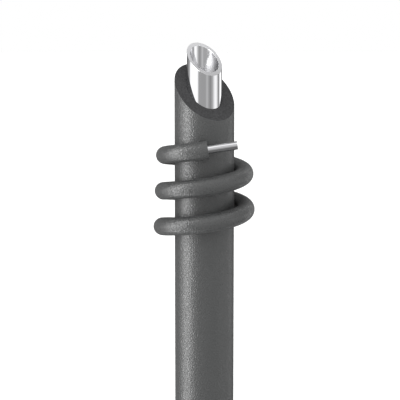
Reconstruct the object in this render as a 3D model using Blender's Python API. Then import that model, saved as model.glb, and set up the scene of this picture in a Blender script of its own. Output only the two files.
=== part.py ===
"""Foam lagging on a steel pipe, with a small lagged pipe wound round it.

The frame: +Z runs up the pipe, the origin is the middle of its bottom end, and -Y is the front.
"""

import math

import bmesh
import bpy
from mathutils import Matrix, Vector

MM = 0.001

# Foam lagging for a steel pipe of nominal size 20: bore 27.5 mm in use, wall 9 mm, sold by the metre
LAGGING_DIAMETER = 46.0 * MM
LAGGING_BORE = 27.5 * MM
LAGGING_LENGTH = 1000.0 * MM

# Steel pipe of nominal size 20
PIPE_DIAMETER = 26.9 * MM
PIPE_WALL = 2.65 * MM

# Both tubes are cut on a slant, along parallel planes that rise to the back and the left
CUT_SLOPE = math.radians(42.0)
CUT_UPHILL = math.radians(118.2)
PIPE_STANDS_OUT = 25.1 * MM
STRAIGHT_SIDES = 64

# Small lagged pipe: 1/4 inch tube in foam with a wall of about 3.4 mm
SMALL_LAGGING_DIAMETER = 13.8 * MM
SMALL_LAGGING_BORE = 6.95 * MM
SMALL_PIPE_DIAMETER = 6.35 * MM
SMALL_PIPE_WALL = 0.8 * MM
SMALL_LAGGING_SIDES = 12
SMALL_PIPE_SIDES = 10

# The winding goes down from the front to the left, the back and the right, and opens a little
WINDING_CLEARANCE = 0.3 * MM
WINDING_PITCH = 27.7 * MM
WINDING_OPENS = 1.06 * MM
WINDING_BELOW_CUT = 41.8 * MM
WINDING_STARTS = -0.073
WINDING_ENDS = 5.0 * math.pi
WINDING_STEP = math.radians(10.0)
SMALL_PIPE_TOP_LENGTH = 22.6 * MM
SMALL_PIPE_END_LENGTH = 12.0 * MM

FULL_TURN = 2.0 * math.pi
CUT_RISE = math.tan(CUT_SLOPE)
LAGGING_CUT_HEIGHT = LAGGING_LENGTH - CUT_RISE * LAGGING_DIAMETER / 2.0
PIPE_CUT_HEIGHT = LAGGING_CUT_HEIGHT + PIPE_STANDS_OUT
WINDING_TOP = LAGGING_CUT_HEIGHT - WINDING_BELOW_CUT
WINDING_RADIUS = (LAGGING_DIAMETER + SMALL_LAGGING_DIAMETER) / 2.0 + WINDING_CLEARANCE

# Linear colour, roughness, metallic
FINISHES = {
    "foam": ((0.072, 0.072, 0.073), 0.62, 0.0),
    "pipe_steel": ((0.80, 0.80, 0.81), 0.16, 1.0),
    "tube_steel": ((0.74, 0.74, 0.75), 0.24, 1.0),
}
SMOOTH_UNDER = math.radians(40.0)


def clear_scene():
    for obj in list(bpy.data.objects):
        bpy.data.objects.remove(obj)


def finish(name):
    """The named finish as a material, made once."""
    if name in bpy.data.materials:
        return bpy.data.materials[name]
    colour, roughness, metallic = FINISHES[name]
    material = bpy.data.materials.new(name)
    material.use_nodes = True
    shader = material.node_tree.nodes["Principled BSDF"]
    shader.inputs["Base Color"].default_value = (*colour, 1.0)
    shader.inputs["Roughness"].default_value = roughness
    shader.inputs["Metallic"].default_value = metallic
    return material


def add_circle(bm, place, radius, sides):
    """The corners of a circle in the XY plane of the matrix place."""
    made = bmesh.ops.create_circle(bm, cap_ends=False, radius=radius, segments=sides, matrix=place)
    return made["verts"]


def lift_to_cut(circle, height):
    """Moves a circle up to the slanted cut whose middle is at this height."""
    for vert in circle:
        uphill = vert.co.x * math.cos(CUT_UPHILL) + vert.co.y * math.sin(CUT_UPHILL)
        vert.co.z = height + CUT_RISE * uphill


def skin_rings(bm, rings):
    """Faces from each ring to the next one and from the last to the first, as one closed skin."""
    for ring, following in zip(rings, rings[1:] + rings[:1]):
        sides = zip(ring, ring[1:] + ring[:1], following[1:] + following[:1], following)
        for corners in sides:
            bm.faces.new(corners)
    bmesh.ops.recalc_face_normals(bm, faces=bm.faces[:])


def add_node(name, bm, material):
    mesh = bpy.data.meshes.new(name)
    bm.to_mesh(mesh)
    bm.free()
    mesh.materials.append(finish(material))
    mesh.shade_smooth()
    mesh.set_sharp_from_angle(angle=SMOOTH_UNDER)
    node = bpy.data.objects.new(name, mesh)
    bpy.context.scene.collection.objects.link(node)
    return node


def make_straight_tube(name, diameter, bore, cut_height, material):
    """A tube that stands on a square end and has its top end cut on the slant."""
    bm = bmesh.new()
    rings = []
    for radius, at_top in ((diameter, False), (diameter, True), (bore, True), (bore, False)):
        ring = add_circle(bm, Matrix.Identity(4), radius / 2.0, STRAIGHT_SIDES)
        if at_top:
            lift_to_cut(ring, cut_height)
        rings.append(ring)
    skin_rings(bm, rings)
    return add_node(name, bm, material)


def winding_point(turned):
    """The middle line of the winding, at an angle turned down from the front."""
    radius = WINDING_RADIUS + WINDING_OPENS * turned / FULL_TURN
    around = -math.pi / 2.0 - turned
    height = WINDING_TOP - WINDING_PITCH * turned / FULL_TURN
    return Vector((radius * math.cos(around), radius * math.sin(around), height))


def winding_place(turned):
    """The point of the winding as a matrix: X points out from the pipe and Z along the winding."""
    small_turn = 0.0001
    along = (winding_point(turned + small_turn) - winding_point(turned - small_turn)).normalized()
    point = winding_point(turned)
    outward = Vector((point.x, point.y, 0.0))
    outward = (outward - outward.dot(along) * along).normalized()
    across = along.cross(outward)
    turned_frame = Matrix((outward, across, along)).transposed().to_4x4()
    return Matrix.Translation(point) @ turned_frame


def winding_places():
    steps = round((WINDING_ENDS - WINDING_STARTS) / WINDING_STEP)
    step = (WINDING_ENDS - WINDING_STARTS) / steps
    return [winding_place(WINDING_STARTS + step * index) for index in range(steps + 1)]


def make_wound_tube(name, places, diameter, bore, sides, material):
    """A hollow tube swept through the places."""
    bm = bmesh.new()
    outside = [add_circle(bm, place, diameter / 2.0, sides) for place in places]
    inside = [add_circle(bm, place, bore / 2.0, sides) for place in places]
    skin_rings(bm, outside + inside[::-1])
    return add_node(name, bm, material)


def main():
    clear_scene()
    make_straight_tube(
        "lagging_tube", LAGGING_DIAMETER, LAGGING_BORE, LAGGING_CUT_HEIGHT, "foam"
    )
    make_straight_tube(
        "steel_pipe", PIPE_DIAMETER, PIPE_DIAMETER - 2.0 * PIPE_WALL, PIPE_CUT_HEIGHT, "pipe_steel"
    )
    places = winding_places()
    make_wound_tube(
        "wound_lagging",
        places,
        SMALL_LAGGING_DIAMETER,
        SMALL_LAGGING_BORE,
        SMALL_LAGGING_SIDES,
        "foam",
    )
    top_end = places[0] @ Matrix.Translation((0.0, 0.0, -SMALL_PIPE_TOP_LENGTH))
    lower_end = places[-1] @ Matrix.Translation((0.0, 0.0, SMALL_PIPE_END_LENGTH))
    make_wound_tube(
        "wound_pipe",
        [top_end, *places, lower_end],
        SMALL_PIPE_DIAMETER,
        SMALL_PIPE_DIAMETER - 2.0 * SMALL_PIPE_WALL,
        SMALL_PIPE_SIDES,
        "tube_steel",
    )


main()
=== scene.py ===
"""Looks of a lagged steel pipe: foam lagging on a bright pipe, with a small lagged pipe wound round it.

The frame is the model's own: metres, +Z up the pipe, -Y to the front, and the origin in the middle of
the bottom end.
"""

import math

import bpy
from bpy.props import FloatProperty, FloatVectorProperty, IntProperty, PointerProperty
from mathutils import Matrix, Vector


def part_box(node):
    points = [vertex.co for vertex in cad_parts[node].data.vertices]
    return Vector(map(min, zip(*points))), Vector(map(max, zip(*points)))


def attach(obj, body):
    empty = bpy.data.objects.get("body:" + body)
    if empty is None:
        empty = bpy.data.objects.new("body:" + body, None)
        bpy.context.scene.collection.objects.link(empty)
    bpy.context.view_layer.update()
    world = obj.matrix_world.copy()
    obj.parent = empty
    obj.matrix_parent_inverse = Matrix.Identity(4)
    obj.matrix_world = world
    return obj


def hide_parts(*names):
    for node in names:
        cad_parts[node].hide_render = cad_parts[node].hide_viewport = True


bl_info = {
    "name": "Lagged Pipe",
    "version": (1, 0, 0),
    "blender": (4, 5, 0),
    "location": "View3D > Sidebar > Lagged Pipe",
    "description": "Dresses foam lagging on a steel pipe, with a small lagged pipe wound round it",
    "category": "Object",
}

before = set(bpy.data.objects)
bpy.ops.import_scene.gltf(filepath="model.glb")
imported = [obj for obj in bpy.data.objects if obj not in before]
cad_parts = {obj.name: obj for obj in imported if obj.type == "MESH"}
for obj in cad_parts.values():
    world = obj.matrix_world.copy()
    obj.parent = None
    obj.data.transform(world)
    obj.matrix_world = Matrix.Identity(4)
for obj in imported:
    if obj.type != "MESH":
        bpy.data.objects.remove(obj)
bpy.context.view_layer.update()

MM = 0.001
BODY = "root"


def across(node):
    """The width of an upright round solid."""
    low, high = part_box(node)
    return high.x - low.x


def top_of(node):
    """The height of a solid's highest point."""
    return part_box(node)[1].z


# Sizes that the solids give
LAGGING_DIAMETER = across("lagging_tube")
PIPE_DIAMETER = across("steel_pipe")
LAGGING_TOP = top_of("lagging_tube")
PIPE_TOP = top_of("steel_pipe")

# The solids' other sizes. The lagging's bore is closer to the pipe than theirs, as the foam grips it
LAGGING_BORE = 27.0 * MM
PIPE_WALL = 2.65 * MM
CUT_SLOPE = math.radians(42.0)
CUT_UPHILL = math.radians(118.2)
SMALL_LAGGING_DIAMETER = 13.8 * MM
SMALL_LAGGING_BORE = 6.95 * MM
SMALL_PIPE_DIAMETER = 6.35 * MM
SMALL_PIPE_WALL = 0.8 * MM
WINDING_CLEARANCE = 0.3 * MM
WINDING_PITCH = 27.7 * MM
WINDING_OPENS = 1.06 * MM
WINDING_BELOW_CUT = 41.8 * MM
SMALL_PIPE_TOP_LENGTH = 22.6 * MM
SMALL_PIPE_END_LENGTH = 12.0 * MM

# Where the winding starts and ends, in radians turned down from the front
WINDING_STARTS = -0.073
WINDING_ENDS = 5.0 * math.pi

FULL_TURN = 2.0 * math.pi
CUT_RISE = math.tan(CUT_SLOPE)
LAGGING_CUT_HEIGHT = LAGGING_TOP - CUT_RISE * LAGGING_DIAMETER / 2.0
PIPE_CUT_HEIGHT = PIPE_TOP - CUT_RISE * PIPE_DIAMETER / 2.0


def linear(hex_colour):
    """An sRGB hex colour as a linear one."""
    parts = [int(hex_colour[i : i + 2], 16) / 255.0 for i in (1, 3, 5)]
    return tuple(p / 12.92 if p <= 0.04045 else ((p + 0.055) / 1.055) ** 2.4 for p in parts)


def shade(colour, brightness):
    """The colour made paler or darker, as a socket takes it."""
    return (*[part * brightness for part in colour], 1.0)


# A Mix node's colour sockets, which share their names with its sockets for numbers
MIX_FIRST = 6
MIX_SECOND = 7
MIX_RESULT = 2


def add(tree, kind, inputs=None, **settings):
    """Adds a node. inputs maps its sockets to values, or to the nodes and sockets that feed them."""
    node = tree.nodes.new(kind)
    for name, value in settings.items():
        setattr(node, name, value)
    for key, value in (inputs or {}).items():
        if isinstance(value, bpy.types.Node):
            value = value.outputs[0]
        if isinstance(value, bpy.types.NodeSocket):
            tree.links.new(value, node.inputs[key])
        else:
            node.inputs[key].default_value = value
    return node


# Sizes and colours that a user would change


class LaggedPipeSizes(bpy.types.PropertyGroup):
    """The large lagging and its pipe."""

    lagging_diameter: FloatProperty(
        name="Lagging Diameter",
        description="Outside diameter of the large foam lagging",
        default=LAGGING_DIAMETER,
        unit="LENGTH",
        precision=4,
    )
    lagging_bore: FloatProperty(
        name="Lagging Bore",
        description="Bore of the large foam lagging",
        default=LAGGING_BORE,
        unit="LENGTH",
        precision=4,
    )
    pipe_diameter: FloatProperty(
        name="Pipe Diameter",
        description="Outside diameter of the steel pipe",
        default=PIPE_DIAMETER,
        unit="LENGTH",
        precision=4,
    )
    pipe_wall: FloatProperty(
        name="Pipe Wall",
        description="Wall thickness of the steel pipe",
        default=PIPE_WALL,
        unit="LENGTH",
        precision=4,
    )
    cut_slope: FloatProperty(
        name="Cut Slope",
        description="How steep the cuts at the top ends are",
        default=CUT_SLOPE,
        subtype="ANGLE",
    )
    cut_uphill: FloatProperty(
        name="Cut Uphill",
        description="The direction in which the cuts rise, from +X towards +Y",
        default=CUT_UPHILL,
        subtype="ANGLE",
    )
    sides: IntProperty(
        name="Sides",
        description="Faces round each straight tube",
        default=128,
    )


class WindingSizes(bpy.types.PropertyGroup):
    """The small lagged pipe that is wound round the lagging."""

    lagging_diameter: FloatProperty(
        name="Small Lagging Diameter",
        description="Outside diameter of the small foam lagging",
        default=SMALL_LAGGING_DIAMETER,
        unit="LENGTH",
        precision=4,
    )
    lagging_bore: FloatProperty(
        name="Small Lagging Bore",
        description="Bore of the small foam lagging",
        default=SMALL_LAGGING_BORE,
        unit="LENGTH",
        precision=4,
    )
    pipe_diameter: FloatProperty(
        name="Small Pipe Diameter",
        description="Outside diameter of the small pipe",
        default=SMALL_PIPE_DIAMETER,
        unit="LENGTH",
        precision=4,
    )
    pipe_wall: FloatProperty(
        name="Small Pipe Wall",
        description="Wall thickness of the small pipe",
        default=SMALL_PIPE_WALL,
        unit="LENGTH",
        precision=4,
    )
    pitch: FloatProperty(
        name="Pitch",
        description="How far one turn goes down",
        default=WINDING_PITCH,
        unit="LENGTH",
        precision=4,
    )
    opens: FloatProperty(
        name="Opens",
        description="How much wider each turn is than the one above it, in radius",
        default=WINDING_OPENS,
        unit="LENGTH",
        precision=5,
    )
    pipe_top_length: FloatProperty(
        name="Bare Pipe at the Top",
        description="How far the small pipe stands out of its lagging at the front",
        default=SMALL_PIPE_TOP_LENGTH,
        unit="LENGTH",
        precision=4,
    )
    pipe_end_length: FloatProperty(
        name="Bare Pipe at the Lower End",
        description="How far the small pipe stands out of its lagging behind",
        default=SMALL_PIPE_END_LENGTH,
        unit="LENGTH",
        precision=4,
    )
    sides: IntProperty(
        name="Sides",
        description="Faces round the winding",
        default=40,
    )


class FinishColours(bpy.types.PropertyGroup):
    """Base colours, linear."""

    foam_skin: FloatVectorProperty(
        name="Foam Skin",
        description="Colour of the skin that the foam was extruded with",
        default=linear("#424343"),
        subtype="COLOR",
    )
    foam_cut: FloatVectorProperty(
        name="Foam Cut",
        description="Colour of the open cells where the foam was cut",
        default=linear("#3B3B3C"),
        subtype="COLOR",
    )
    steel: FloatVectorProperty(
        name="Steel",
        description="Colour of the bright steel",
        default=linear("#ECECEE"),
        subtype="COLOR",
    )
    bore_steel: FloatVectorProperty(
        name="Bore Steel",
        description="Colour of the steel inside the pipe",
        default=linear("#F7F7F9"),
        subtype="COLOR",
    )
    sawn_steel: FloatVectorProperty(
        name="Sawn Steel",
        description="Colour of the steel where it was sawn",
        default=linear("#E8E8EA"),
        subtype="COLOR",
    )


class StudioSettings(bpy.types.PropertyGroup):
    """Camera and light."""

    elevation: FloatProperty(
        name="Camera Elevation",
        description="How far the camera looks down",
        default=math.radians(8.055),
        subtype="ANGLE",
    )
    distance: FloatProperty(
        name="Camera Distance",
        description="From the camera to the point that it looks at",
        default=1.0584,
        unit="LENGTH",
    )
    lens: FloatProperty(
        name="Lens",
        description="Focal length of the camera",
        default=123.165,
        unit="CAMERA",
    )
    strip_power: FloatProperty(
        name="Strip Power",
        description="Power of the tall strip light on the left",
        default=118.0,
        unit="POWER",
    )
    lamp_power: FloatProperty(
        name="Bore Lamp Power",
        description="Power of the small lamp that shines into the bore of the pipe",
        default=44.0,
        unit="POWER",
    )
    room_light: FloatProperty(
        name="Room Light",
        description="Strength of the soft white light all round",
        default=1.83,
    )


# Geometry Nodes

# Points of the skin that are closer than this are one point
WELD_DISTANCE = 0.002 * MM

# The slant of the cut fades downwards with this power of the height
SLANT_FADES = 12.0

# Points along each turn of the winding
TURN_POINTS = 200

# The rims of the ends are rounded in so many steps, wherever two faces meet at a sharper angle
RIM_STEPS = 3
RIM_ANGLE = math.radians(40.0)

TUBE_SOCKETS = (
    ("Diameter", "NodeSocketFloat", 0.046),
    ("Wall", "NodeSocketFloat", 0.009),
    ("Sides", "NodeSocketInt", 64),
    ("Unevenness", "NodeSocketFloat", 0.0),
    ("Unevenness Size", "NodeSocketFloat", 0.01),
    ("Skin", "NodeSocketMaterial", None),
    ("End", "NodeSocketMaterial", None),
    ("Bore", "NodeSocketMaterial", None),
)


def new_tree(name, sockets):
    """A geometry tree with an input for each (name, socket type, default), and a mesh as its output."""
    tree = bpy.data.node_groups.new(name, "GeometryNodeTree")
    for label, kind, default in (*TUBE_SOCKETS, *sockets):
        socket = tree.interface.new_socket(label, in_out="INPUT", socket_type=kind)
        if default is not None:
            socket.default_value = default
    tree.interface.new_socket("Mesh", in_out="OUTPUT", socket_type="NodeSocketGeometry")
    return tree


def sweep_tube(tree, given, path):
    """Sweeps a round skin along the path and thickens it inwards: (mesh, its ends, its bore)."""
    # Each point keeps its place on the round and along the path, for patterns that run with the tube
    radius = add(tree, "ShaderNodeMath", {0: given["Diameter"], 1: 0.5}, operation="MULTIPLY")
    round_sizes = {"Resolution": given["Sides"], "Radius": radius}
    circle = add(tree, "GeometryNodeCurvePrimitiveCircle", round_sizes)
    on_round = add(tree, "GeometryNodeCaptureAttribute", {"Geometry": circle})
    on_round.capture_items.new("VECTOR", "On Round")
    place = add(tree, "GeometryNodeInputPosition")
    tree.links.new(place.outputs[0], on_round.inputs["On Round"])
    along = add(tree, "GeometryNodeCaptureAttribute", {"Geometry": path})
    along.capture_items.new("FLOAT", "Along")
    spline = add(tree, "GeometryNodeSplineParameter")
    tree.links.new(spline.outputs["Length"], along.inputs["Along"])
    skin = add(
        tree,
        "GeometryNodeCurveToMesh",
        {"Curve": along.outputs["Geometry"], "Profile Curve": on_round.outputs["Geometry"]},
    )
    upwards = add(tree, "ShaderNodeCombineXYZ", {2: along.outputs["Along"]})
    straight = add(tree, "ShaderNodeVectorMath", {0: on_round.outputs["On Round"], 1: upwards})
    marked = add(
        tree,
        "GeometryNodeStoreNamedAttribute",
        {"Geometry": skin, "Name": "laid_straight", "Value": straight},
        data_type="FLOAT_VECTOR",
    )

    # The wall grows inwards from the skin and is turned over, so that the skin closes it
    level = add(tree, "GeometryNodeCaptureAttribute", {"Geometry": marked})
    level.capture_items.new("VECTOR", "Outwards")
    normal = add(tree, "GeometryNodeInputNormal")
    tree.links.new(normal.outputs[0], level.inputs["Outwards"])
    wall = add(tree, "ShaderNodeMath", {0: given["Wall"], 1: -1.0}, operation="MULTIPLY")
    grown = add(
        tree,
        "GeometryNodeExtrudeMesh",
        {"Mesh": level, "Offset Scale": wall, "Individual": False},
        mode="FACES",
    )
    turned_over = add(tree, "GeometryNodeFlipFaces", {"Mesh": grown.outputs["Mesh"]})
    both = add(tree, "GeometryNodeJoinGeometry")
    tree.links.new(turned_over.outputs[0], both.inputs[0])
    tree.links.new(level.outputs[0], both.inputs[0])
    welded = add(tree, "GeometryNodeMergeByDistance", {"Geometry": both, "Distance": WELD_DISTANCE})

    # The skin dips in unevenly and never stands proud
    scale = add(tree, "ShaderNodeMath", {0: 1.0, 1: given["Unevenness Size"]}, operation="DIVIDE")
    noise = add(tree, "ShaderNodeTexNoise", {"Vector": straight, "Scale": scale, "Detail": 2.0})
    dip = add(tree, "ShaderNodeMath", {0: noise, 1: given["Unevenness"]}, operation="MULTIPLY")
    inwards = add(tree, "ShaderNodeMath", {0: dip, 1: -1.0}, operation="MULTIPLY")
    offset = add(
        tree,
        "ShaderNodeVectorMath",
        {0: level.outputs["Outwards"], "Scale": inwards},
        operation="SCALE",
    )
    uneven = add(tree, "GeometryNodeSetPosition", {"Geometry": welded, "Offset": offset})
    return uneven, grown.outputs["Side"], grown.outputs["Top"]


def finish_tube(tree, given, mesh, is_end, is_bore):
    """Ends a tree: plain geometry with a material on the skin, one on the ends and one on the bore."""
    smooth = add(tree, "GeometryNodeSetShadeSmooth", {"Geometry": mesh})
    real = add(tree, "GeometryNodeRealizeInstances", {"Geometry": smooth})
    dressed = add(tree, "GeometryNodeSetMaterial", {"Geometry": real, "Material": given["Skin"]})
    for faces, label in ((is_end, "End"), (is_bore, "Bore")):
        dressed = add(
            tree,
            "GeometryNodeSetMaterial",
            {"Geometry": dressed, "Selection": faces, "Material": given[label]},
        )
    add(tree, "NodeGroupOutput", {"Mesh": dressed})


def slant_cut_tube():
    """The tree of an upright tube with a square bottom end, whose top end is cut on a slant."""
    tree = new_tree(
        "slant_cut_tube",
        (
            ("Rows", "NodeSocketInt", 200),
            ("Cut Height", "NodeSocketFloat", 1.0),
            ("Cut Rise", "NodeSocketFloat", 0.9),
            ("Cut Uphill", "NodeSocketVector", None),
        ),
    )
    given = add(tree, "NodeGroupInput").outputs
    top = add(tree, "ShaderNodeCombineXYZ", {2: given["Cut Height"]})
    line = add(tree, "GeometryNodeCurvePrimitiveLine", {"End": top})
    path = add(tree, "GeometryNodeResampleCurve", {"Curve": line, "Count": given["Rows"]})
    mesh, is_end, is_bore = sweep_tube(tree, given, path)

    # Every point is lifted in step with its height, so that the rows stay apart and the top row
    # lies in the cut
    place = add(tree, "GeometryNodeInputPosition")
    uphill = add(
        tree, "ShaderNodeVectorMath", {0: place, 1: given["Cut Uphill"]}, operation="DOT_PRODUCT"
    )
    rise = add(
        tree,
        "ShaderNodeMath",
        {0: uphill.outputs["Value"], 1: given["Cut Rise"]},
        operation="MULTIPLY",
    )
    height = add(tree, "ShaderNodeSeparateXYZ", {0: place})
    share = add(
        tree,
        "ShaderNodeMath",
        {0: height.outputs["Z"], 1: given["Cut Height"]},
        operation="DIVIDE",
    )
    near_top = add(tree, "ShaderNodeMath", {0: share, 1: SLANT_FADES}, operation="POWER")
    lift = add(tree, "ShaderNodeMath", {0: rise, 1: near_top}, operation="MULTIPLY")
    offset = add(tree, "ShaderNodeCombineXYZ", {2: lift})
    cut = add(tree, "GeometryNodeSetPosition", {"Geometry": mesh, "Offset": offset})
    finish_tube(tree, given, cut, is_end, is_bore)
    return tree


def wound_tube():
    """The tree of a tube wound as a spiral that opens downwards, with a straight run past each end."""
    tree = new_tree(
        "wound_tube",
        (
            ("Turns", "NodeSocketFloat", 2.5),
            ("Lower Radius", "NodeSocketFloat", 0.03),
            ("Upper Radius", "NodeSocketFloat", 0.03),
            ("Height", "NodeSocketFloat", 0.07),
            ("Lower End Height", "NodeSocketFloat", 0.8),
            ("Lower End Turned", "NodeSocketFloat", 0.0),
            ("Lower Run", "NodeSocketFloat", 0.0),
            ("Upper Run", "NodeSocketFloat", 0.0),
        ),
    )
    given = add(tree, "NodeGroupInput").outputs
    spiral = add(
        tree,
        "GeometryNodeCurveSpiral",
        {
            "Resolution": TURN_POINTS,
            "Rotations": given["Turns"],
            "Start Radius": given["Lower Radius"],
            "End Radius": given["Upper Radius"],
            "Height": given["Height"],
            "Reverse": True,
        },
    )
    place = add(tree, "ShaderNodeCombineXYZ", {2: given["Lower End Height"]})
    turn = add(tree, "ShaderNodeCombineXYZ", {2: given["Lower End Turned"]})
    placed = add(
        tree,
        "GeometryNodeTransform",
        {"Geometry": spiral, "Translation": place, "Rotation": turn},
    )

    # The first and the last point move out along the winding
    first = add(tree, "GeometryNodeCurveEndpointSelection", {"Start Size": 1, "End Size": 0})
    last = add(tree, "GeometryNodeCurveEndpointSelection", {"Start Size": 0, "End Size": 1})
    back = add(tree, "ShaderNodeMath", {0: first, 1: given["Lower Run"]}, operation="MULTIPLY")
    on = add(tree, "ShaderNodeMath", {0: last, 1: given["Upper Run"]}, operation="MULTIPLY")
    run = add(tree, "ShaderNodeMath", {0: on, 1: back}, operation="SUBTRACT")
    tangent = add(tree, "GeometryNodeInputTangent")
    offset = add(tree, "ShaderNodeVectorMath", {0: tangent, "Scale": run}, operation="SCALE")
    path = add(tree, "GeometryNodeSetPosition", {"Geometry": placed, "Offset": offset})
    upright = add(tree, "GeometryNodeSetCurveNormal", {"Curve": path})
    mesh, is_end, is_bore = sweep_tube(tree, given, upright)
    finish_tube(tree, given, mesh, is_end, is_bore)
    return tree


def grow(name, maker, values, rim):
    """Runs a tree with these inputs, rounds its rims and keeps the result as a plain mesh object."""
    tree = bpy.data.node_groups.get(maker.__name__) or maker()
    piece = bpy.data.objects.new(name, bpy.data.meshes.new(name))
    bpy.context.scene.collection.objects.link(piece)
    shape = piece.modifiers.new("shape", "NODES")
    shape.node_group = tree
    for socket in tree.interface.items_tree:
        if socket.in_out == "INPUT" and socket.name in values:
            shape[socket.identifier] = values[socket.name]
    rims = piece.modifiers.new("rims", "BEVEL")
    rims.width = rim
    rims.segments = RIM_STEPS
    rims.limit_method = "ANGLE"
    rims.angle_limit = RIM_ANGLE
    rims.harden_normals = True
    graph = bpy.context.evaluated_depsgraph_get()
    mesh = bpy.data.meshes.new_from_object(piece.evaluated_get(graph), depsgraph=graph)
    piece.modifiers.clear()

    # The tree leaves an empty slot before the materials that it sets
    if mesh.materials[0] is None:
        mesh.materials.pop(index=0)
    piece.data = mesh
    mesh.name = name
    return piece


def dress(piece, node):
    """The piece stands for a solid of the frame: the solid is hidden, and the piece joins the body."""
    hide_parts(node)
    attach(piece, BODY)


# Materials


def new_material(name):
    """A material with its shader: (material, node tree, shader)."""
    material = bpy.data.materials.new(name)
    material.use_nodes = True
    return material, material.node_tree, material.node_tree.nodes["Principled BSDF"]


# Two foam skins: their name, how deep the grain is, and how far it swings the roughness. The thin wall
# is stretched round the winding, so its grain stands out more
THICK_WALL_SKIN = ("Nitrile rubber foam, extruded skin", 0.30 * MM, 0.11)
THIN_WALL_SKIN = ("Nitrile rubber foam, extruded thin-wall skin", 0.34 * MM, 0.18)
FOAM_ROUGHNESS = 0.42
GRAIN_TURN = (0.5, 0.7, 0.3)


def foam_skin(skin, colour):
    """Nitrile rubber foam, extruded: a closed matte skin, whose fine grain sparkles in a highlight."""
    name, grain_depth, gloss_swing = skin
    if name in bpy.data.materials:
        return bpy.data.materials[name]
    material, tree, shader = new_material(name)
    at = add(tree, "ShaderNodeTexCoord").outputs["Object"]

    # Grain of 0.95 mm, coarser than the real one so that it shows, over dimples of 2.5 mm, and clouds
    # of 15 mm in the colour. The grain's rows are turned away from the tube's own line, so that they
    # never show as streaks
    turned = add(tree, "ShaderNodeMapping", {"Vector": at, "Rotation": GRAIN_TURN})
    grain = add(tree, "ShaderNodeTexNoise", {"Vector": turned, "Scale": 1050.0, "Detail": 0.0})
    dimples = add(tree, "ShaderNodeTexNoise", {"Vector": at, "Scale": 400.0, "Detail": 1.0})
    cloud = add(tree, "ShaderNodeTexNoise", {"Vector": at, "Scale": 66.0, "Detail": 3.0})
    tint = add(
        tree,
        "ShaderNodeMix",
        {
            "Factor": cloud,
            MIX_FIRST: shade(colour, 0.96),
            MIX_SECOND: shade(colour, 1.04),
        },
        data_type="RGBA",
    )
    coarse = add(tree, "ShaderNodeBump", {"Height": dimples, "Strength": 0.1, "Distance": 0.5 * MM})
    fine = add(
        tree,
        "ShaderNodeBump",
        {"Height": grain, "Strength": 1.0, "Distance": grain_depth, "Normal": coarse},
    )

    # Specks of 0.77 mm, coarser than the real ones too, are glossier or duller than the rest
    specks = add(tree, "ShaderNodeTexNoise", {"Vector": at, "Scale": 1300.0, "Detail": 0.0})
    dull = add(
        tree,
        "ShaderNodeMapRange",
        {
            "Value": specks,
            "From Min": 0.3,
            "From Max": 0.7,
            "To Min": FOAM_ROUGHNESS - gloss_swing,
            "To Max": FOAM_ROUGHNESS + gloss_swing,
        },
    )

    # Seen edge-on, the grain hides its own bright sides, so the gloss fades
    edge_on = add(tree, "ShaderNodeLayerWeight", {"Blend": 0.5}).outputs["Facing"]
    faded = add(
        tree,
        "ShaderNodeMapRange",
        {"Value": edge_on, "From Min": 0.5, "From Max": 0.85, "To Min": 0.0, "To Max": 0.35},
    )
    roughness = add(tree, "ShaderNodeMath", {0: dull, 1: faded}, operation="ADD")
    tree.links.new(tint.outputs[MIX_RESULT], shader.inputs["Base Color"])
    tree.links.new(fine.outputs[0], shader.inputs["Normal"])
    tree.links.new(roughness.outputs[0], shader.inputs["Roughness"])
    shader.inputs["Specular IOR Level"].default_value = 0.8
    return material


def foam_cut(colour):
    """Nitrile rubber foam, cut with a knife: small open cells, quite matte."""
    name = "Nitrile rubber foam, knife-cut cells"
    if name in bpy.data.materials:
        return bpy.data.materials[name]
    material, tree, shader = new_material(name)
    at = add(tree, "ShaderNodeTexCoord").outputs["Object"]

    # Cells of 0.9 mm and mottling of 1.5 mm, coarser than the real ones so that they show
    cells = add(tree, "ShaderNodeTexVoronoi", {"Vector": at, "Scale": 1100.0})
    mottle = add(tree, "ShaderNodeTexNoise", {"Vector": at, "Scale": 660.0, "Detail": 1.0})
    tint = add(
        tree,
        "ShaderNodeMix",
        {
            "Factor": mottle,
            MIX_FIRST: shade(colour, 1.5),
            MIX_SECOND: shade(colour, 0.5),
        },
        data_type="RGBA",
    )
    pits = add(
        tree, "ShaderNodeBump", {"Height": cells, "Strength": 0.5, "Distance": 0.3 * MM}, invert=True
    )
    tree.links.new(tint.outputs[MIX_RESULT], shader.inputs["Base Color"])
    tree.links.new(pits.outputs[0], shader.inputs["Normal"])
    shader.inputs["Roughness"].default_value = 0.95
    shader.inputs["Specular IOR Level"].default_value = 0.25
    return material


def polished_steel(colour):
    """Steel pipe, drawn and polished: a mirror with faint lines along the pipe."""
    material, tree, shader = new_material("Steel, drawn and polished")
    at = add(tree, "ShaderNodeAttribute", attribute_name="laid_straight").outputs["Vector"]

    # Lines 1.1 mm apart that run 55 mm along the pipe, coarser than the real ones so that they show,
    # and smudges of 15 mm
    stretched = add(tree, "ShaderNodeMapping", {"Vector": at, "Scale": (1.0, 1.0, 0.02)})
    lines = add(tree, "ShaderNodeTexNoise", {"Vector": stretched, "Scale": 900.0, "Detail": 2.0})
    smudges = add(tree, "ShaderNodeTexNoise", {"Vector": at, "Scale": 66.0, "Detail": 3.0})
    dull = add(tree, "ShaderNodeMapRange", {"Value": smudges, "To Min": 0.055, "To Max": 0.085})
    bump = add(tree, "ShaderNodeBump", {"Height": lines, "Strength": 0.1, "Distance": 0.02 * MM})
    tree.links.new(dull.outputs[0], shader.inputs["Roughness"])
    tree.links.new(bump.outputs[0], shader.inputs["Normal"])
    shader.inputs["Base Color"].default_value = shade(colour, 1.0)
    shader.inputs["Metallic"].default_value = 1.0
    return material


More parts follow.
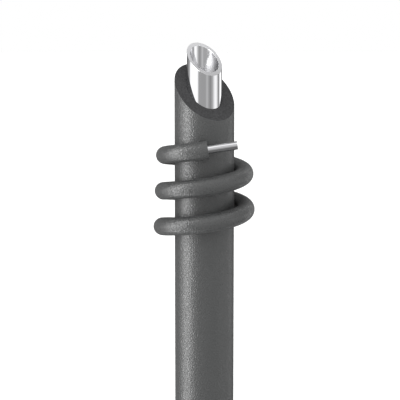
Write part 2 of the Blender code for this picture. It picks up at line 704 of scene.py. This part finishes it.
# The bore is bright down to the first depth below the middle of the cut, and dull from the second one.
# Both depths lie lower on its left, by the lean
BORE_BRIGHT_TO = 2.0 * MM
BORE_DULL_FROM = 11.0 * MM
BORE_LEAN = (-1.5, 0.0, 1.0)
BORE_WANDER = 2.0 * MM

# The painted shade, which stands in for a dark reflection on the right wall, sets in between these two
# places to the right of the middle
PAINTED_SHADE_FROM = 5.6 * MM
PAINTED_SHADE_TO = 9.6 * MM
PAINTED_SHADE_BRIGHTNESS = 0.36


def pipe_bore(colour):
    """Steel bore: bright round its mouth, duller farther down, and with painted shade on the right wall
    that stands in for a dark reflection.
    """
    material, tree, shader = new_material("Steel, bore that dulls with depth")
    at = add(tree, "ShaderNodeTexCoord").outputs["Object"]

    # Smudges of 5 mm make the edge of the dull part wander
    leaning = add(tree, "ShaderNodeVectorMath", {0: at, 1: BORE_LEAN}, operation="DOT_PRODUCT")
    height = leaning.outputs["Value"]
    smudges = add(tree, "ShaderNodeTexNoise", {"Vector": at, "Scale": 200.0, "Detail": 0.0})
    wander = add(
        tree, "ShaderNodeMath", {0: smudges, 1: BORE_WANDER, 2: height}, operation="MULTIPLY_ADD"
    )
    dull = add(
        tree,
        "ShaderNodeMapRange",
        {
            "Value": wander,
            "From Min": PIPE_CUT_HEIGHT - BORE_BRIGHT_TO,
            "From Max": PIPE_CUT_HEIGHT - BORE_DULL_FROM,
            "To Min": 0.09,
            "To Max": 0.48,
        },
    )
    bump = add(tree, "ShaderNodeBump", {"Height": smudges, "Strength": 0.1, "Distance": 0.02 * MM})
    # Painted shade: the right wall is painted darker, standing in for a dark reflection
    side = add(tree, "ShaderNodeSeparateXYZ", {0: at}).outputs["X"]
    painted_shade = add(
        tree,
        "ShaderNodeMapRange",
        {"Value": side, "From Min": PAINTED_SHADE_FROM, "From Max": PAINTED_SHADE_TO},
    )
    tint = add(
        tree,
        "ShaderNodeMix",
        {
            "Factor": painted_shade,
            MIX_FIRST: shade(colour, 1.0),
            MIX_SECOND: shade(colour, PAINTED_SHADE_BRIGHTNESS),
        },
        data_type="RGBA",
    )
    tree.links.new(tint.outputs[MIX_RESULT], shader.inputs["Base Color"])
    tree.links.new(dull.outputs[0], shader.inputs["Roughness"])
    tree.links.new(bump.outputs[0], shader.inputs["Normal"])
    shader.inputs["Metallic"].default_value = 1.0
    return material


def drawn_steel(colour):
    """Small steel tube, drawn bright: satin, with fine lines along the tube."""
    name = "Steel, bright drawn small tube"
    if name in bpy.data.materials:
        return bpy.data.materials[name]
    material, tree, shader = new_material(name)
    at = add(tree, "ShaderNodeAttribute", attribute_name="laid_straight").outputs["Vector"]

    # Lines 0.7 mm apart that run 24 mm along the tube, coarser than the real ones so that they show,
    # and smudges of 8 mm
    stretched = add(tree, "ShaderNodeMapping", {"Vector": at, "Scale": (1.0, 1.0, 0.03)})
    lines = add(tree, "ShaderNodeTexNoise", {"Vector": stretched, "Scale": 1400.0, "Detail": 2.0})
    smudges = add(tree, "ShaderNodeTexNoise", {"Vector": at, "Scale": 125.0, "Detail": 3.0})
    dull = add(tree, "ShaderNodeMapRange", {"Value": smudges, "To Min": 0.08, "To Max": 0.12})
    bump = add(tree, "ShaderNodeBump", {"Height": lines, "Strength": 0.6, "Distance": 0.08 * MM})
    tree.links.new(dull.outputs[0], shader.inputs["Roughness"])
    tree.links.new(bump.outputs[0], shader.inputs["Normal"])
    shader.inputs["Base Color"].default_value = shade(colour, 1.0)
    shader.inputs["Metallic"].default_value = 1.0
    return material


# The end of the pipe is painted paler at the top of its slant than at the bottom, as painted light and
# shade from how the light falls. The painted light and shade run this far up and down from its middle
PAINTED_LIGHT_REACH = 12.0 * MM
LOW_RIM_PAINTED_SHADE = 0.89
HIGH_RIM_PAINTED_LIGHT = 1.24
STROKE_SCALE = 83.0 * FULL_TURN


def sawn_steel(colour):
    """Steel, sawn and filed: a dull pale face with fine strokes across it, painted paler towards the
    top of its slant as painted light.
    """
    name = "Steel, sawn end"
    if name in bpy.data.materials:
        return bpy.data.materials[name]
    material, tree, shader = new_material(name)
    at = add(tree, "ShaderNodeTexCoord").outputs["Object"]

    # Strokes 0.6 mm apart, coarser than the real ones so that they show
    strokes = add(
        tree,
        "ShaderNodeTexWave",
        {"Vector": at, "Scale": STROKE_SCALE, "Distortion": 1.5, "Detail": 2.0},
    )
    bump = add(tree, "ShaderNodeBump", {"Height": strokes, "Strength": 0.15, "Distance": 0.05 * MM})
    # Painted light and shade: the face is painted paler towards the top of its slant and darker towards
    # the bottom
    height = add(tree, "ShaderNodeSeparateXYZ", {0: at}).outputs["Z"]
    share = add(
        tree,
        "ShaderNodeMapRange",
        {
            "Value": height,
            "From Min": PIPE_CUT_HEIGHT - PAINTED_LIGHT_REACH,
            "From Max": PIPE_CUT_HEIGHT + PAINTED_LIGHT_REACH,
        },
    )
    tint = add(
        tree,
        "ShaderNodeMix",
        {
            "Factor": share,
            MIX_FIRST: shade(colour, LOW_RIM_PAINTED_SHADE),
            MIX_SECOND: shade(colour, HIGH_RIM_PAINTED_LIGHT),
        },
        data_type="RGBA",
    )
    tree.links.new(tint.outputs[MIX_RESULT], shader.inputs["Base Color"])
    tree.links.new(bump.outputs[0], shader.inputs["Normal"])
    shader.inputs["Metallic"].default_value = 1.0
    shader.inputs["Roughness"].default_value = 0.4
    return material


# Operators


def slant_cut_values(sizes, diameter, bore, cut_height):
    """Inputs of an upright tube: its bottom end is square, and its top end is cut on the slant."""
    return {
        "Diameter": diameter,
        "Wall": (diameter - bore) / 2.0,
        "Sides": sizes.sides,
        "Cut Height": cut_height,
        "Cut Rise": math.tan(sizes.cut_slope),
        "Cut Uphill": (math.cos(sizes.cut_uphill), math.sin(sizes.cut_uphill), 0.0),
    }


def winding_values(sizes, diameter, bore):
    """Inputs of the winding: it is built upwards from its lower end."""
    turns = (WINDING_ENDS - WINDING_STARTS) / FULL_TURN
    radius = (LAGGING_DIAMETER + SMALL_LAGGING_DIAMETER) / 2.0 + WINDING_CLEARANCE
    top = LAGGING_CUT_HEIGHT - WINDING_BELOW_CUT
    return {
        "Diameter": diameter,
        "Wall": (diameter - bore) / 2.0,
        "Sides": sizes.sides,
        "Turns": turns,
        "Lower Radius": radius + sizes.opens * WINDING_ENDS / FULL_TURN,
        "Upper Radius": radius + sizes.opens * WINDING_STARTS / FULL_TURN,
        "Height": sizes.pitch * turns,
        "Lower End Height": top - sizes.pitch * WINDING_ENDS / FULL_TURN,
        "Lower End Turned": -math.pi / 2.0 - WINDING_ENDS,
    }


class LAGGED_OT_lagging(bpy.types.Operator):
    """Add the large foam lagging"""

    bl_idname = "lagged.lagging"
    bl_label = "Add Lagging"

    def execute(self, context):
        sizes, colours = context.scene.lagged_sizes, context.scene.lagged_colours
        values = slant_cut_values(
            sizes, sizes.lagging_diameter, sizes.lagging_bore, LAGGING_CUT_HEIGHT
        )
        values["Rows"] = 280
        values["Unevenness"] = 0.1 * MM
        values["Unevenness Size"] = 12.0 * MM
        values["Skin"] = foam_skin(THICK_WALL_SKIN, colours.foam_skin)
        values["End"] = foam_cut(colours.foam_cut)
        values["Bore"] = foam_skin(THICK_WALL_SKIN, colours.foam_skin)
        piece = grow("lagging_foam", slant_cut_tube, values, rim=0.3 * MM)
        dress(piece, "lagging_tube")
        return {"FINISHED"}


class LAGGED_OT_pipe(bpy.types.Operator):
    """Add the bright steel pipe"""

    bl_idname = "lagged.pipe"
    bl_label = "Add Steel Pipe"

    def execute(self, context):
        sizes, colours = context.scene.lagged_sizes, context.scene.lagged_colours
        bore = sizes.pipe_diameter - 2.0 * sizes.pipe_wall
        values = slant_cut_values(sizes, sizes.pipe_diameter, bore, PIPE_CUT_HEIGHT)
        values["Rows"] = 200
        values["Skin"] = polished_steel(colours.steel)
        values["End"] = sawn_steel(colours.sawn_steel)
        values["Bore"] = pipe_bore(colours.bore_steel)
        piece = grow("polished_pipe", slant_cut_tube, values, rim=0.2 * MM)
        dress(piece, "steel_pipe")
        return {"FINISHED"}


class LAGGED_OT_winding_lagging(bpy.types.Operator):
    """Add the small foam lagging that is wound round the large one"""

    bl_idname = "lagged.winding_lagging"
    bl_label = "Add Wound Lagging"

    def execute(self, context):
        sizes, colours = context.scene.winding_sizes, context.scene.lagged_colours
        values = winding_values(sizes, sizes.lagging_diameter, sizes.lagging_bore)
        values["Unevenness"] = 0.08 * MM
        values["Unevenness Size"] = 8.0 * MM
        values["Skin"] = foam_skin(THIN_WALL_SKIN, colours.foam_skin)
        values["End"] = foam_cut(colours.foam_cut)
        values["Bore"] = foam_skin(THIN_WALL_SKIN, colours.foam_skin)
        piece = grow("winding_foam", wound_tube, values, rim=0.25 * MM)
        dress(piece, "wound_lagging")
        return {"FINISHED"}


class LAGGED_OT_winding_pipe(bpy.types.Operator):
    """Add the small pipe inside the wound lagging"""

    bl_idname = "lagged.winding_pipe"
    bl_label = "Add Wound Pipe"

    def execute(self, context):
        sizes, colours = context.scene.winding_sizes, context.scene.lagged_colours
        bore = sizes.pipe_diameter - 2.0 * sizes.pipe_wall
        values = winding_values(sizes, sizes.pipe_diameter, bore)
        values["Lower Run"] = sizes.pipe_end_length
        values["Upper Run"] = sizes.pipe_top_length
        values["Skin"] = drawn_steel(colours.steel)
        values["End"] = sawn_steel(colours.sawn_steel)
        values["Bore"] = drawn_steel(colours.steel)
        piece = grow("winding_tube", wound_tube, values, rim=0.12 * MM)
        dress(piece, "wound_pipe")
        return {"FINISHED"}


# The stage

# What the gloss mirrors round the object, in degrees from the front towards the right:
# (name, middle, half its width, soft edge, brightness). A dark flag has a brightness below nought.
ROOM_MIRRORED = 0.38
AROUND = (
    ("left softbox", -76.0, 33.0, 16.0, 0.9),
    ("left rear flag", -160.0, 28.0, 16.0, -0.23),
    ("front card", 17.0, 6.0, 12.0, 0.15),
    ("front flag", 38.0, 4.5, 8.0, -0.10),
    ("right card", 78.0, 16.0, 28.0, 0.72),
    ("right flag", 101.0, 3.5, 5.0, -0.25),
    ("right rear softbox", 129.0, 11.0, 14.0, 1.05),
    ("right rear flag", 165.0, 16.0, 12.0, -0.12),
)

# Underfoot, above and overhead, the mirrored room fades to a brightness of its own between these two
# heights, in degrees from the horizon. Above, it is brighter at the front. Overhead it is brighter at
# the front and the right, within the least and the most
UNDERFOOT = (-10.0, -26.0)
UNDERFOOT_LIGHT = 0.15
ABOVE = (0.0, 14.0)
ABOVE_LIGHT = 0.42
ABOVE_FRONT = 0.24
OVERHEAD = (40.0, 60.0)
OVERHEAD_LIGHT = 0.585
OVERHEAD_LEAN = (1.2, -1.47, 0.0)
OVERHEAD_LEAST = 0.3
OVERHEAD_MOST = 1.2

# The room's light loses so much towards both sides, and gains so much towards the front
SIDE_SHADE = 1.85
FRONT_LIGHT = 0.2

# Each light stands so many degrees round from the front and so many up, and is so many metres wide and
# high. The strip makes the long highlight on the left of the foam, the lamp the bright flame in the
# bore, the card the pale right ends of the turns, and the bounce the pale undersides of the turns
STRIP = ((-73.0, 10.0), (0.45, 8.0))
BORE_LAMP = ((-37.0, 26.0), (1.2, 1.8))
REAR_CARD = ((150.0, -5.0), (0.4, 3.2))
FLOOR_BOUNCE = ((-88.0, -56.0), (0.6, 1.6))
REAR_CARD_POWER = 10.0
FLOOR_BOUNCE_POWER = 8.5
LIGHT_DISTANCE = 2.0

# The lights aim at the top of the lagging, and the strip so far below it
STRIP_DROP = 2.6

# The camera looks past the middle, this far to the left and this far below the middle of the cut
LOOKS_LEFT = 3.4 * MM
LOOKS_BELOW_CUT = 83.6 * MM
SENSOR_WIDTH = 36.0
SEES_TO = 200.0

FLOOR_SIDE = 60.0


def studio_world(strength):
    """Soft white light all round, weaker from both sides; the gloss mirrors softboxes."""
    world = bpy.data.worlds.new("Studio")
    world.use_nodes = True

    # Rays find the light of the room by themselves, so none is aimed at it
    world.cycles.sampling_method = "NONE"
    tree = world.node_tree
    towards = add(tree, "ShaderNodeTexCoord")
    way = add(tree, "ShaderNodeSeparateXYZ", {0: towards}).outputs
    to_front = add(tree, "ShaderNodeMath", {0: way["Y"], 1: -1.0}, operation="MULTIPLY")
    radians = add(tree, "ShaderNodeMath", {0: way["X"], 1: to_front}, operation="ARCTAN2")
    degrees = add(tree, "ShaderNodeMath", {0: radians}, operation="DEGREES")
    ring = ROOM_MIRRORED
    for name, middle, half_width, soft_edge, brightness in AROUND:
        past = add(tree, "ShaderNodeMath", {0: degrees, 1: middle}, operation="SUBTRACT")
        nearest = add(tree, "ShaderNodeMath", {0: past, 1: -180.0, 2: 180.0}, operation="WRAP")
        off = add(tree, "ShaderNodeMath", {0: nearest}, operation="ABSOLUTE")
        card = add(
            tree,
            "ShaderNodeMapRange",
            {
                "Value": off,
                "From Min": half_width - soft_edge / 2.0,
                "From Max": half_width + soft_edge / 2.0,
                "To Min": brightness,
                "To Max": 0.0,
            },
            label=name,
            interpolation_type="SMOOTHSTEP",
        )
        ring = add(tree, "ShaderNodeMath", {0: ring, 1: card}, operation="ADD")
    rise = add(tree, "ShaderNodeMath", {0: way["Z"]}, operation="ARCSINE")
    height = add(tree, "ShaderNodeMath", {0: rise}, operation="DEGREES")
    above = add(
        tree,
        "ShaderNodeMath",
        {0: to_front, 1: ABOVE_FRONT, 2: ABOVE_LIGHT},
        operation="MULTIPLY_ADD",
    )
    leaning = add(
        tree, "ShaderNodeVectorMath", {0: towards, 1: OVERHEAD_LEAN}, operation="DOT_PRODUCT"
    )
    tilted = add(tree, "ShaderNodeMath", {0: leaning.outputs["Value"], 1: OVERHEAD_LIGHT})
    overhead = add(
        tree, "ShaderNodeClamp", {"Value": tilted, "Min": OVERHEAD_LEAST, "Max": OVERHEAD_MOST}
    )
    mirrored = ring
    layers = ((UNDERFOOT, UNDERFOOT_LIGHT), (ABOVE, above), (OVERHEAD, overhead))
    for (fades_from, fades_to), brightness in layers:
        mirrored = add(
            tree,
            "ShaderNodeMapRange",
            {
                "Value": height,
                "From Min": fades_from,
                "From Max": fades_to,
                "To Min": mirrored,
                "To Max": brightness,
            },
            interpolation_type="SMOOTHSTEP",
        )
    to_side = add(tree, "ShaderNodeMath", {0: way["X"], 1: way["X"]}, operation="MULTIPLY")
    shaded = add(
        tree, "ShaderNodeMath", {0: to_side, 1: -SIDE_SHADE, 2: strength}, operation="MULTIPLY_ADD"
    )
    room = add(
        tree, "ShaderNodeMath", {0: to_front, 1: FRONT_LIGHT, 2: shaded}, operation="MULTIPLY_ADD"
    )
    sees = add(tree, "ShaderNodeLightPath").outputs
    lit = add(
        tree,
        "ShaderNodeMapRange",
        {"Value": sees["Is Glossy Ray"], "To Min": room, "To Max": mirrored},
    )
    shown = add(
        tree,
        "ShaderNodeMapRange",
        {"Value": sees["Is Camera Ray"], "To Min": lit, "To Max": 1.0},
    )
    tree.links.new(shown.outputs[0], tree.nodes["Background"].inputs["Strength"])
    tree.nodes["Background"].inputs["Color"].default_value = (1.0, 1.0, 1.0, 1.0)
    bpy.context.scene.world = world


def studio_floor():
    """A plain pale floor, wide enough to reach the horizon."""
    half = FLOOR_SIDE / 2.0
    corners = [(-half, -half, 0.0), (half, -half, 0.0), (half, half, 0.0), (-half, half, 0.0)]
    mesh = bpy.data.meshes.new("floor")
    mesh.from_pydata(corners, [], [(0, 1, 2, 3)])
    floor = bpy.data.objects.new("floor", mesh)
    bpy.context.scene.collection.objects.link(floor)

    # Flat white paint, in which nothing is mirrored
    material, _, shader = new_material("Painted studio floor")
    shader.inputs["Base Color"].default_value = shade(linear("#FAFAFA"), 1.0)
    shader.inputs["Roughness"].default_value = 0.9
    shader.inputs["Specular IOR Level"].default_value = 0.0
    mesh.materials.append(material)

    # The gloss mirrors the room instead of the floor, and the floor casts no shadow
    floor.visible_glossy = False
    floor.visible_shadow = False


def area_light(name, power, placing, receivers, drop=0.0):
    """An area light on these pieces alone, which shows only in their gloss."""
    (around, rise), size = placing
    around = math.radians(around)
    rise = math.radians(rise)
    lamp = bpy.data.lights.new(name, "AREA")
    lamp.shape = "RECTANGLE"
    lamp.size, lamp.size_y = size
    lamp.energy = power
    light = bpy.data.objects.new(name, lamp)
    bpy.context.scene.collection.objects.link(light)
    aimed_at = Vector((0.0, 0.0, LAGGING_TOP - drop))
    sideways = Vector((math.sin(around), -math.cos(around), 0.0)) * math.cos(rise)
    upwards = Vector((0.0, 0.0, math.sin(rise)))
    light.location = aimed_at + (sideways + upwards) * LIGHT_DISTANCE
    light.rotation_euler = (math.pi / 2.0 - rise, 0.0, around)
    light.visible_diffuse = False
    light.visible_camera = False
    lit = bpy.data.collections.new(name)
    for receiver in receivers:
        lit.objects.link(bpy.data.objects[receiver])
    light.light_linking.receiver_collection = lit


def studio_camera(settings):
    """A camera in front, which looks down a little at the winding."""
    camera = bpy.data.objects.new("camera", bpy.data.cameras.new("camera"))
    bpy.context.scene.collection.objects.link(camera)
    camera.data.sensor_width = SENSOR_WIDTH
    camera.data.lens = settings.lens
    camera.data.clip_end = SEES_TO
    looked_at = Vector((-LOOKS_LEFT, 0.0, LAGGING_CUT_HEIGHT - LOOKS_BELOW_CUT))
    back = Vector((0.0, -math.cos(settings.elevation), math.sin(settings.elevation)))
    camera.location = looked_at + settings.distance * back
    camera.rotation_euler = (math.pi / 2.0 - settings.elevation, 0.0, 0.0)
    bpy.context.scene.camera = camera


class LAGGED_OT_studio(bpy.types.Operator):
    """Add the floor, the light and the camera"""

    bl_idname = "lagged.studio"
    bl_label = "Add Studio"

    def execute(self, context):
        settings = context.scene.studio_settings
        context.scene.view_settings.view_transform = "Standard"
        studio_world(settings.room_light)
        studio_floor()
        foam = ("lagging_foam", "winding_foam")
        area_light("strip", settings.strip_power, STRIP, foam, drop=STRIP_DROP)
        area_light("bore lamp", settings.lamp_power, BORE_LAMP, ("polished_pipe",))
        area_light("rear card", REAR_CARD_POWER, REAR_CARD, ("winding_foam",))
        area_light("floor bounce", FLOOR_BOUNCE_POWER, FLOOR_BOUNCE, ("winding_foam",))
        studio_camera(settings)
        return {"FINISHED"}


class LAGGED_PT_panel(bpy.types.Panel):
    """Lists the sizes, the colours and the operators"""

    bl_label = "Lagged Pipe"
    bl_space_type = "VIEW_3D"
    bl_region_type = "UI"
    bl_category = "Lagged Pipe"

    def draw(self, context):
        for group_name in GROUPS:
            group = getattr(context.scene, group_name)
            column = self.layout.column(align=True)
            for name in group.__annotations__:
                column.prop(group, name)
        for operator in OPERATORS:
            self.layout.operator(operator.bl_idname)


OPERATORS = (
    LAGGED_OT_lagging,
    LAGGED_OT_pipe,
    LAGGED_OT_winding_lagging,
    LAGGED_OT_winding_pipe,
    LAGGED_OT_studio,
)
GROUPS = {
    "lagged_sizes": LaggedPipeSizes,
    "winding_sizes": WindingSizes,
    "lagged_colours": FinishColours,
    "studio_settings": StudioSettings,
}


def register():
    for name, group in GROUPS.items():
        bpy.utils.register_class(group)
        setattr(bpy.types.Scene, name, PointerProperty(type=group))
    for operator in (*OPERATORS, LAGGED_PT_panel):
        bpy.utils.register_class(operator)


def unregister():
    for operator in (LAGGED_PT_panel, *reversed(OPERATORS)):
        bpy.utils.unregister_class(operator)
    for name, group in reversed(GROUPS.items()):
        delattr(bpy.types.Scene, name)
        bpy.utils.unregister_class(group)


def main():
    register()
    bpy.ops.lagged.lagging()
    bpy.ops.lagged.pipe()
    bpy.ops.lagged.winding_lagging()
    bpy.ops.lagged.winding_pipe()
    bpy.ops.lagged.studio()


if __name__ == "__main__":
    main()
